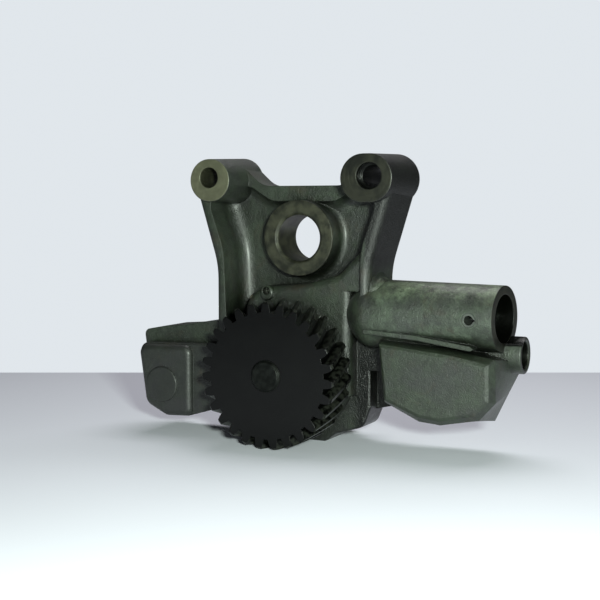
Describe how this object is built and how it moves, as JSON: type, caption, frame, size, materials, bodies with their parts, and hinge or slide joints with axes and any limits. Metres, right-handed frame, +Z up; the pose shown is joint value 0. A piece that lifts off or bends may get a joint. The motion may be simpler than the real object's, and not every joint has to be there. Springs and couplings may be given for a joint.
{
  "type": "engine oil pump",
  "caption": "Gear-driven engine oil pump: cast bracket body with idler bore, helical drive gear, spur gear pair and sprung relief valve.",
  "frame": {"origin": "on the axis of the idler journal bore, in the rear face that bolts to the crankcase", "axes": "+X to the right seen from the drive gear, towards the relief valve; +Y to the rear, into the crankcase; +Z up, from the pump to the mounting bosses"},
  "size_m": [0.2635, 0.089, 0.1863],
  "materials": {
    "cast_iron": "as-cast grey iron, oiled, with machined seats",
    "cast_iron_cover": "as-cast grey iron, oiled",
    "gasket_paper": "oil-soaked gasket paper",
    "zinc_steel": "zinc-plated bolts with a dull passivated surface",
    "ground_steel": "ground steel",
    "bronze": "bearing bronze",
    "rubber_seal": "black nitrile rubber",
    "plug_steel": "pressed steel plug",
    "spring_steel": "oiled spring steel",
    "shaft_steel": "turned and blackened shaft end",
    "blackened_steel": "hobbed, hardened and blackened steel, oiled",
    "gear_steel": "hobbed and shaved steel"
  },
  "bodies": {
    "housing": {"pump_body": "cast_iron", "suction_cover": "cast_iron_cover", "suction_cover_gasket": "gasket_paper", "suction_cover_bolts": "zinc_steel", "rear_cover": "cast_iron_cover", "rear_cover_bolts": "zinc_steel", "rear_cover_dowels": "ground_steel", "locating_sleeves": "ground_steel", "front_shaft_bush": "bronze", "rear_shaft_bush": "bronze", "driven_gear_pin": "ground_steel", "thrust_washer": "bronze", "suction_seal_ring": "rubber_seal", "oil_jet_plug": "plug_steel", "relief_spring": "spring_steel", "relief_spring_seat": "ground_steel", "relief_retaining_pin": "spring_steel"},
    "drive_rotor": {"drive_shaft": "shaft_steel", "drive_gear": "blackened_steel", "pump_drive_gear": "gear_steel", "pump_gear_key": "ground_steel"},
    "driven_rotor": {"pump_driven_gear": "gear_steel", "driven_gear_bush": "bronze"},
    "relief_valve": {"relief_piston": "ground_steel"}
  },
  "joints": [
    {"name": "drive_spin", "type": "hinge", "parent": "housing", "child": "drive_rotor", "pos_m": [-0.0035, 0, -0.08567], "axis": [0, 1, 0], "continuous": true},
    {"name": "driven_spin", "type": "hinge", "parent": "housing", "child": "driven_rotor", "pos_m": [-0.0035, 0, -0.05267], "axis": [0, 1, 0], "continuous": true},
    {"name": "relief_slide", "type": "slide", "parent": "housing", "child": "relief_valve", "axis": [1, 0, 0], "range_m": [0, 0.009], "stiffness_N_per_m": 2000, "springref_m": -0.004, "deforming": ["relief_spring"]}
  ],
  "couplings": [
    {"joint": "driven_spin", "follows": "drive_spin", "ratio": -1}
  ]
}
